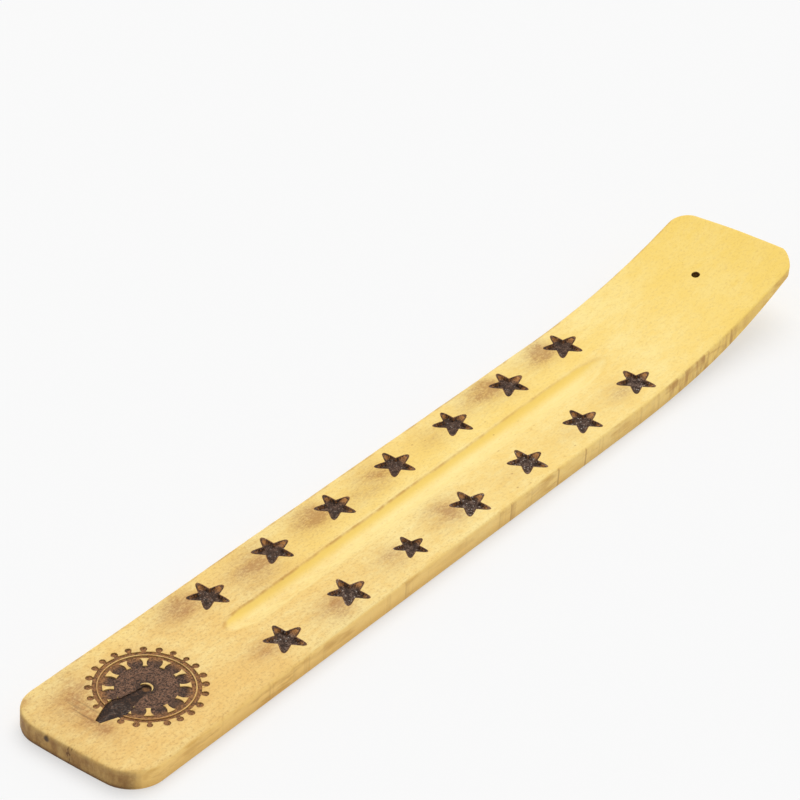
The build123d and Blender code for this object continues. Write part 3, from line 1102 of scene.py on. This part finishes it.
def flower_block(centre, marks, low, high):
    """Disc with gaps between its petals and a crescent left plain, as a solid that stands out of the wood."""
    ring = marks.rim_radius - marks.rim_width - marks.plain_line
    outer = ring - marks.inner_ring
    inner = outer - marks.petal_ring
    past = (low - OVERCUT, high + OVERCUT)
    further = (low - 2 * OVERCUT, high + 2 * OVERCUT)
    gaps = add_drum("gaps", centre, outer, *past, sides=RING_SIDES)
    combine(gaps, "DIFFERENCE", add_drum("gaps_inside", centre, inner, *further, sides=RING_SIDES))
    petal = add_drum("petal", (0, 0), marks.petal_width / 2, *further, sides=32)
    petal.data.transform(Matrix.Diagonal((marks.petal_length / marks.petal_width, 1, 1, 1)))
    petals = ring_of(petal, marks.petal_count, centre, (outer + inner) / 2, PETAL_STRAY)
    combine(gaps, "DIFFERENCE", petals)
    eye_x = centre.x - marks.eye_offset
    crescent = add_drum("crescent", (eye_x, centre.y), marks.crescent_radius, *past, sides=48)
    bite_radius = marks.crescent_radius - marks.crescent_width + marks.crescent_shift
    bite_centre = (eye_x - marks.crescent_shift, centre.y)
    combine(crescent, "DIFFERENCE", add_drum("bite", bite_centre, bite_radius, *further, sides=48))
    flower = add_drum("flower", centre, ring, low, high, sides=RING_SIDES)
    combine(flower, "DIFFERENCE", gaps)
    return combine(flower, "DIFFERENCE", crescent)


# Curled ridge on the leaf, in millimetres from the medallion's centre: middle and reach of the
# curl, spacing of its turns, half width of its ridge as a share of a turn, and where its vein
# begins and half the vein's width
CURL_MIDDLE = Vector((-9.3, -0.2))
CURL_REACH = 2.3
CURL_SPACING = 0.95
CURL_WIDTH = 0.17
VEIN_START = -11.4
VEIN_WIDTH = 0.28


def scroll_ridge(point):
    """Height from 0 to 1 of the curled ridge on the leaf, at a point in millimetres from its medallion."""
    offset = point - CURL_MIDDLE
    turn = math.atan2(offset.y, offset.x) / (2 * math.pi)
    ring = (offset.length / CURL_SPACING - turn) % 1
    curl = math.exp(-(((ring - 0.5) / CURL_WIDTH) ** 2)) * (offset.length < CURL_REACH)
    wave = point.y - 0.15 * math.sin(point.x)
    vein = math.exp(-((wave / VEIN_WIDTH) ** 2)) * (point.x < VEIN_START)
    return max(curl, 0.6 * vein)


def raise_ridge(plate, centre, floor, marks):
    """Raise and paint the curled ridge on top of the leaf."""
    ridges = []
    for vertex in plate.data.vertices:
        on_top = vertex.co.z > floor + marks.char_thickness / 2
        height = scroll_ridge((vertex.co - centre).xy * 1000) if on_top else 0
        vertex.co.z += marks.scroll_height * height
        ridges.append(height)
    paint(plate, "ridge", ridges)


def char_plate(block, name, floor, marks, form, seed):
    """Press a block down to a thin layer of char with a stippled top, and keep it under a new name."""
    block.name = name
    block.data.name = name
    top = floor + marks.char_thickness
    for vertex in block.data.vertices:
        if vertex.co.z > top:
            vertex.co.z = top
    with editing(block, "VERT"):
        bpy.ops.mesh.select_all(action="SELECT")
        bpy.ops.mesh.remove_doubles(threshold=HAIR / 10)
    fine_mesh(block, CHAR_CELL)
    with editing(block, "VERT"):
        bpy.ops.mesh.select_all(action="SELECT")
        bpy.ops.mesh.dissolve_degenerate(threshold=HAIR / 10)
    for vertex in block.data.vertices:
        if vertex.co.z > top - marks.char_thickness / 10:
            point = Vector((vertex.co.x * 1000, vertex.co.y * 1000, seed))
            vertex.co.z += STIPPLE_HEIGHT * crumble(point, 1.3, 2.9)
        vertex.co.z += form.uneven(vertex.co.x, vertex.co.y)
    return block


# How far from an end its upright edges are looked for, and the length of edges that are still to be
# cut into cells
END_REACH = 0.01
LONG_EDGE = 0.02

# Half the width of the board that is cut into cells, what is left whole at its ends, and how far
# the cells of the plain end and of the tip reach past their corners
CELLED_HALF = 0.0175
END_MARGIN = 0.0012
NEAR_PAST = 0.003
TIP_PAST = 0.004


def lean_ends(piece, board, tip):
    """Narrow the raised tip, and lean both ends out of square."""
    leans = (
        (board.near_end, board.width / 2, board.near_lean),
        (tip, board.tip_width / 2, board.tip_lean),
    )
    with editing(piece, "VERT"):
        slice_across(0, [tip - board.bend_length])
        choose(piece, "verts", lambda v: v.co.x > tip - OVERCUT)
        bpy.ops.transform.resize(value=(1, board.tip_width / board.width, 1), center_override=(0, 0, 0))
        for end, reach, lean in leans:
            for side in (1, -1):
                choose(piece, "verts", lambda v: abs(v.co.x - end) < 2 * OVERCUT and v.co.y * side > 0)
                bpy.ops.transform.translate(value=(-side * reach * math.tan(lean), 0, 0))


def round_edges(piece, board, tip):
    """Round the upright corners, and ease the edges of the top and of the underside."""
    corners = (
        (board.near_end, 0, board.near_corner, 0.5),
        (tip, 1, board.tip_corner, 0.5),
        (tip, -1, board.cut_corner, 0.36),
    )
    with editing(piece, "EDGE"):
        for end, side, radius, profile in corners:
            choose(
                piece,
                "edges",
                lambda e: abs(e.verts[0].co.z - e.verts[1].co.z) > OVERCUT
                and abs(e.verts[0].co.x - end) < END_REACH
                and e.verts[0].co.y * side >= 0,
            )
            bpy.ops.mesh.bevel(affect="EDGES", offset=radius, segments=12, profile=profile)
        for facing, easing, segments in ((1, board.top_easing, 4), (-1, board.underside_easing, 3)):
            choose(piece, "edges", lambda e: sum(f.normal.z * facing > 0.9 for f in e.link_faces) == 1)
            bpy.ops.mesh.bevel(affect="EDGES", offset=easing, segments=segments)


def cut_cells(piece, board, tip):
    """Cut the board into small cells, with narrow ones along the left edge of the groove."""
    edge = board.mark_offset + board.groove_width / 2
    flat_start = board.near_end + board.near_corner + NEAR_PAST
    flat_end = tip - board.cut_corner - TIP_PAST
    third = (tip - board.bend_length - flat_start) / 3
    with editing(piece, "EDGE"):
        slice_across(1, steps(-CELLED_HALF, CELLED_HALF, WOOD_CELL))
        slice_across(1, [edge - EDGE_CELL, edge, edge + EDGE_CELL])
        slice_across(2, steps(board.underside_easing, board.thickness - board.top_easing, SIDE_CELL))
        slice_across(0, [flat_start, flat_start + third, flat_start + 2 * third, flat_end])
        slice_across(0, steps(board.near_end + END_MARGIN, flat_start, WOOD_CELL))
        slice_across(0, steps(flat_end, tip - END_MARGIN, WOOD_CELL))
        choose(piece, "edges", lambda e: abs(e.verts[0].co.x - e.verts[1].co.x) > LONG_EDGE)
        bpy.ops.mesh.subdivide(number_cuts=round(third / WOOD_CELL) - 1)


def wooden_blank(board):
    """Board with leaning ends, round corners and eased edges, still flat, in small cells."""
    tip = board.near_end + board.length
    half = board.width / 2
    piece = add_block("board_wood", (board.near_end, -half, 0), (tip, half, board.thickness))
    for shape in (lean_ends, round_edges, cut_cells):
        shape(piece, board, tip)
    return piece


def bend_blank(piece, form):
    """Raise the tip, sink the groove and give the faces the unevenness of hand sanding."""
    sizes = form.sizes
    sideways = [abs(vertex.normal.y) > 0.5 for vertex in piece.data.vertices]
    for vertex, on_side in zip(piece.data.vertices, sideways):
        x, y, z = vertex.co
        x += form.bow(x, y)
        share = z / sizes.thickness
        low, high = form.underside(x), form.top(x)
        cut = form.groove(x, y) if share > 0.99 else 0
        vertex.co = (x, y, low + share * (high - low - cut + form.uneven(x, y)))
        if on_side:
            ripple = noise.noise(Vector((x * 45, z * 90, 7.7)))
            ripple += 0.35 * noise.noise(Vector((x * 330, z * 30, 1.3)))
            vertex.co.y += sizes.unevenness * ripple * share


# How far a pit's wall stays above the underside, how far below the top it begins, and the depth at which it
# is fully burnt, which in the stick hole also stands for painted shade
PIT_ABOVE = 0.0005
PIT_BELOW = 0.00008
BURN_DEPTH = 0.0003

# How far a face has to look sideways or endways for a sawn finish, and how near to a long side
FACING = (0.45, 0.85)
SIDE_ZONE = 0.002


def burnt_and_shaded_walls(piece, form, marks):
    """Share of burning at each vertex on the walls of the pits, and of scorch with painted shade on the wall
    of the stick hole.
    """
    sizes = form.sizes
    # The stick hole's wall is painted dark, partly as scorch and partly as painted shade of the deep hole
    hole = Vector((form.tip - sizes.hole_from_tip, sizes.hole_offset))
    zones = [(medallion_centre(sizes, marks).xy, marks.leaf_reach + OVERCUT), (hole, 3 * sizes.hole_radius)]
    stars = [star_place(node, form)[0].translation.xy for node in star_nodes()]
    zones += [(star, NODE_STAR_RADIUS + OVERCUT / 2) for star in stars]
    burn = []
    for vertex in piece.data.vertices:
        x, y, z = vertex.co
        surface = form.top(x) - form.groove(x, y) + form.uneven(x, y)
        pit = form.underside(x) + PIT_ABOVE < z < surface - PIT_BELOW
        pit = pit and any((vertex.co.xy - place).length < reach for place, reach in zones)
        burn.append(min((surface - z) / BURN_DEPTH, 1) if pit else 0)
    return burn


def mark_wood(piece, form, marks):
    """Paint where the wood is burnt, with painted shade in the stick hole, stained by smoke, grooved, sawn or
    cut across the grain.
    """
    vertices = piece.data.vertices
    centre = medallion_centre(form.sizes, marks)
    outer = form.sizes.tip_width / 2 - SIDE_ZONE
    spots, rubbed = smoke_spots(form, marks), [stain(centre, *LEAF_SCRATCHES)]
    scorch = [max(smoke_at(v.co, spots), singe_at(v.co - centre, marks)) for v in vertices]
    sides = [blend_step(*FACING, abs(v.normal.y)) * (abs(v.co.y) > outer) for v in vertices]
    paint(piece, "burn", burnt_and_shaded_walls(piece, form, marks))
    paint(piece, "groove", [1000 * form.cut(v.co.x, v.co.y) for v in vertices])
    paint(piece, "scorch", scorch)
    paint(piece, "scratch", [smoke_at(v.co, rubbed) for v in vertices])
    paint(piece, "end_grain", [blend_step(*FACING, abs(v.normal.x)) for v in vertices])
    paint(piece, "sawn_side", sides)


# Smoke before each star of a row, from the plain end: strength close by, strength of the wider
# wash, and shift to the left in millimetres
STAR_SMOKE = {
    "left": (
        (0.85, 0.55, 2.2), (0.42, 0.62, -0.2), (0.74, 0.52, 1.7), (0.35, 0.5, 1), (0.15, 0.25, 1),
        (1.5, 0.45, 2.8), (1.0, 0.5, 2.8)
    ),
    "right": (
        (0.65, 0.15, 0.8), (1.0, 0.28, -0.9), (0.45, 0.2, 1), (0.6, 0.3, 1.4), (0.1, 0.1, 0),
        (0.1, 0.1, 0), (0.35, 0.2, 1)
    ),
}

# Broad washes of smoke between the stars: place along and across the board, half length and half
# width in millimetres, and strength
WASHES = (
    (-18.7, 9.2, 8, 3, 0.25), (29, 13, 8, 5, 0.12), (-51, 17.5, 6, 2, 0.25), (45, 8.5, 5, 2.5, 0.2),
    (-8, -7.4, 6.5, 3.5, 0.33), (-60, 6.2, 10, 3, 0.16)
)

# Smoke close to a star and its wider wash: place from the star's centre, half length and half width
# in millimetres, and the share of the close smoke that is kept
CLOSE_SMOKE = (-5.6, 0, 3.9, 3.3)
WIDE_SMOKE = (-8.8, -0.6, 7.5, 4.6)
CLOSE_SHARE = 0.88

# Smoke round the leaf and the scratches beside it, written as the washes are, from the medallion's
# centre
LEAF_SMOKE = (
    (-16.2, 5.5, 3.8, 7.5, 0.4), (-11.5, 10.2, 4, 3.8, 0.52), (-17.2, -3, 2.8, 3.8, 0.42),
    (-18.5, 4, 7, 12, 0.3), (-9, 15.5, 8, 3.5, 0.25), (-22.5, 16.8, 1.8, 1.5, 0.5)
)
LEAF_SCRATCHES = (-16.2, 3.5, 3.2, 5.5, 0.5)

# Width of the singed halo outside the medallion's rim
HALO_WIDTH = 0.0028


def stain(centre, x, y, along, across, strength):
    """Middle, half length, half width and strength of a stain, placed in millimetres from a centre."""
    return (centre.x + x / 1000, centre.y + y / 1000, along / 1000, across / 1000, strength)


def smoke_spots(form, marks):
    """Every smoke stain on the top."""
    spots = [stain(Vector(), *wash) for wash in WASHES]
    for row in ROWS:
        for number, (close, wash, shift) in enumerate(STAR_SMOKE[row], 1):
            place, _ = star_place(f"star_char_{row}_{number}", form)
            star = place.translation + Vector((0, shift / 1000, 0))
            spots.append(stain(star, *CLOSE_SMOKE, CLOSE_SHARE * close))
            spots.append(stain(star, *WIDE_SMOKE, wash))
    centre = medallion_centre(form.sizes, marks)
    spots += [stain(centre, *smoke) for smoke in LEAF_SMOKE]
    return spots


def singe_at(offset, marks):
    """Share of burning on the plain wood between the marks of the medallion, at an offset from its centre."""
    reach = offset.xy.length
    inside = marks.rim_radius - marks.rim_width / 2
    patch = 0.5 + 0.5 * noise.noise(offset * 350)
    if reach > inside:
        return 0.3 * patch * math.exp(-(((reach - inside) / HALO_WIDTH) ** 2))
    if reach > inside - marks.rim_width:
        towards_leaf = max(-offset.x / reach, 0)
        return min(0.25 + 0.5 * patch + towards_leaf, 1)
    return 0.25 * patch


def smoke_at(point, spots):
    """Share of smoke at a point of the top."""
    total = 0
    for x, y, half_length, half_width, strength in spots:
        along, across = (point.x - x) / half_length, (point.y - y) / half_width
        total += strength * math.exp(-(along**2) - across**2)
    return min(total, 1)


class HOLDER_OT_board(Operator):
    """Model the bent wooden board with its groove, its stick hole and the pits of its marks"""

    bl_idname = "holder.board"
    bl_label = "Wooden Board"

    def execute(self, context):
        board, marks = context.scene.holder_board, context.scene.holder_marks
        form = BoardForm(board)
        piece = wooden_blank(board)
        bend_blank(piece, form)
        plug = star_plug(marks)
        cutters = []
        for node in star_nodes():
            place, scaling = star_place(node, form)
            cutters.append(copy_piece(plug, "star_cutter", place @ scaling))
        discard(plug)
        hole = add_drum("hole_cutter", (0, 0), board.hole_radius, -2 * board.thickness, OVERCUT, sides=32)
        with editing(hole, "FACE"):
            slice_across(2, [-HOLE_RIM])
        hole.data.transform(form.plane(form.tip - board.hole_from_tip, board.hole_offset))
        combine(piece, "DIFFERENCE", join([hole, *cutters]))
        centre = medallion_centre(board, marks)
        high = board.thickness + OVERCUT
        low = board.thickness - marks.medallion_depth
        leaf = leaf_block(centre, marks, board.thickness - marks.leaf_depth, high)
        for block in (rim_block(centre, marks, low, high), flower_block(centre, marks, low, high), leaf):
            combine(piece, "DIFFERENCE", block)
        smooth_by_angle(piece, WOOD_CREASE)
        mark_wood(piece, form, marks)
        finish_piece(piece, pale_wood(context.scene.holder_colours), ["board"])
        return {"FINISHED"}


class HOLDER_OT_stars(Operator):
    """Model the crumbled char that lines every star"""

    bl_idname = "holder.stars"
    bl_label = "Star Char"

    def execute(self, context):
        board, marks = context.scene.holder_board, context.scene.holder_marks
        form = BoardForm(board)
        dish = star_dish(marks)
        material = star_char(context.scene.holder_colours)
        for seed, node in enumerate(star_nodes()):
            place, scaling = star_place(node, form)
            star = copy_piece(dish, node.replace("char", "lining"), place @ scaling)
            roughen_star(star, place, form, marks, seed * 3.7, STAR_GLINT[seed // STARS_IN_A_ROW])
            smooth_by_angle(star, CHAR_CREASE)
            finish_piece(star, material, [node])
        discard(dish)
        return {"FINISHED"}


class HOLDER_OT_medallion(Operator):
    """Model the stippled char of the medallion and its leaf figure"""

    bl_idname = "holder.medallion"
    bl_label = "Medallion Char"

    def execute(self, context):
        board, marks = context.scene.holder_board, context.scene.holder_marks
        form = BoardForm(board)
        centre = medallion_centre(board, marks)
        high = board.thickness + OVERCUT
        floor = board.thickness - marks.medallion_depth
        leaf_floor = board.thickness - marks.leaf_depth
        brown = medallion_char(context.scene.holder_colours, tuple(centre), marks)
        for make, name, seed in ((rim_block, "rim", 1.5), (flower_block, "flower", 5.5)):
            cutter = leaf_block(centre, marks, leaf_floor, high + OVERCUT)
            block = combine(make(centre, marks, floor, high), "DIFFERENCE", cutter)
            plate = char_plate(block, f"medallion_{name}", floor, marks, form, seed)
            smooth_by_angle(plate, CHAR_CREASE)
            finish_piece(plate, brown, [f"medallion_{name}_char"])
        leaf = leaf_block(centre, marks, leaf_floor, high)
        plate = char_plate(leaf, "medallion_leaf", leaf_floor, marks, form, 9.5)
        raise_ridge(plate, centre, leaf_floor, marks)
        smooth_by_angle(plate, LEAF_CREASE)
        eye = centre - Vector((marks.eye_offset, 0, 0))
        black = leaf_char(context.scene.holder_colours, tuple(eye))
        finish_piece(plate, black, ["medallion_leaf_char"])
        return {"FINISHED"}


# Size of the floor, strength, spread and direction of the light, and place, aim, roll and focal
# length of the camera, the last in millimetres
FLOOR_SIZE = 6
WORLD_STRENGTH = 0.58
KEY_STRENGTH = 1.6
KEY_SPREAD = math.radians(50)
KEY_DIRECTION = Vector((-0.45, -0.22, -1))
CAMERA_PLACE = Vector((-0.56462, -0.397, 0.51672))
CAMERA_AIM = Vector((0.02052, 0.02809, 0.006))
CAMERA_ROLL = math.radians(4.091)
CAMERA_LENS = 156.77


class HOLDER_OT_stage(Operator):
    """Set the floor, the soft light and the camera"""

    bl_idname = "holder.stage"
    bl_label = "Stage"

    def execute(self, context):
        scene = context.scene
        scene.view_settings.view_transform = "Standard"
        bpy.ops.object.select_all(action="DESELECT")
        bpy.ops.mesh.primitive_plane_add(size=FLOOR_SIZE)
        floor = settle("floor")
        floor.data.materials.append(pale_floor(scene.holder_colours))

        world = bpy.data.worlds.new("studio")
        world.use_nodes = True
        background = world.node_tree.nodes["Background"].inputs
        background["Color"].default_value = (1, 1, 1, 1)
        background["Strength"].default_value = WORLD_STRENGTH
        scene.world = world
        bpy.ops.object.light_add(type="SUN", location=(0.3, 0.4, 1))
        key = context.active_object
        key.name = "soft_key"
        key.data.energy = KEY_STRENGTH
        key.data.angle = KEY_SPREAD
        key.rotation_euler = KEY_DIRECTION.to_track_quat("-Z", "Y").to_euler()

        bpy.ops.object.camera_add(location=CAMERA_PLACE)
        camera = context.active_object
        camera.name = "camera"
        upright = (CAMERA_AIM - CAMERA_PLACE).to_track_quat("-Z", "Y").to_matrix().to_4x4()
        turned = upright @ Matrix.Rotation(CAMERA_ROLL, 4, "Z")
        camera.matrix_world = Matrix.Translation(CAMERA_PLACE) @ turned
        camera.data.sensor_width = 36
        camera.data.lens = CAMERA_LENS
        camera.data.clip_start = 0.01
        scene.camera = camera
        return {"FINISHED"}


class HOLDER_PT_panel(Panel):
    """Lists the steps that model the holder"""

    bl_idname = "HOLDER_PT_panel"
    bl_label = "Incense Stick Holder"
    bl_space_type = "VIEW_3D"
    bl_region_type = "UI"
    bl_category = "Holder"

    def draw(self, context):
        layout = self.layout
        for operator in OPERATORS:
            layout.operator(operator.bl_idname)
        for group in (context.scene.holder_board, context.scene.holder_marks, context.scene.holder_colours):
            box = layout.box()
            for name in group.__annotations__:
                box.prop(group, name)


OPERATORS = (HOLDER_OT_board, HOLDER_OT_stars, HOLDER_OT_medallion, HOLDER_OT_stage)
CLASSES = (BoardSizes, MarkSizes, HolderColours, *OPERATORS, HOLDER_PT_panel)


def register():
    """Add the classes to Blender, and their sizes and colours to the scene."""
    for item in CLASSES:
        bpy.utils.register_class(item)
    bpy.types.Scene.holder_board = PointerProperty(type=BoardSizes)
    bpy.types.Scene.holder_marks = PointerProperty(type=MarkSizes)
    bpy.types.Scene.holder_colours = PointerProperty(type=HolderColours)


def unregister():
    """Take them out again."""
    del bpy.types.Scene.holder_colours
    del bpy.types.Scene.holder_marks
    del bpy.types.Scene.holder_board
    for item in reversed(CLASSES):
        bpy.utils.unregister_class(item)


def main():
    """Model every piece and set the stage."""
    register()
    bpy.ops.holder.board()
    bpy.ops.holder.stars()
    bpy.ops.holder.medallion()
    bpy.ops.holder.stage()


if __name__ == "__main__":
    main()
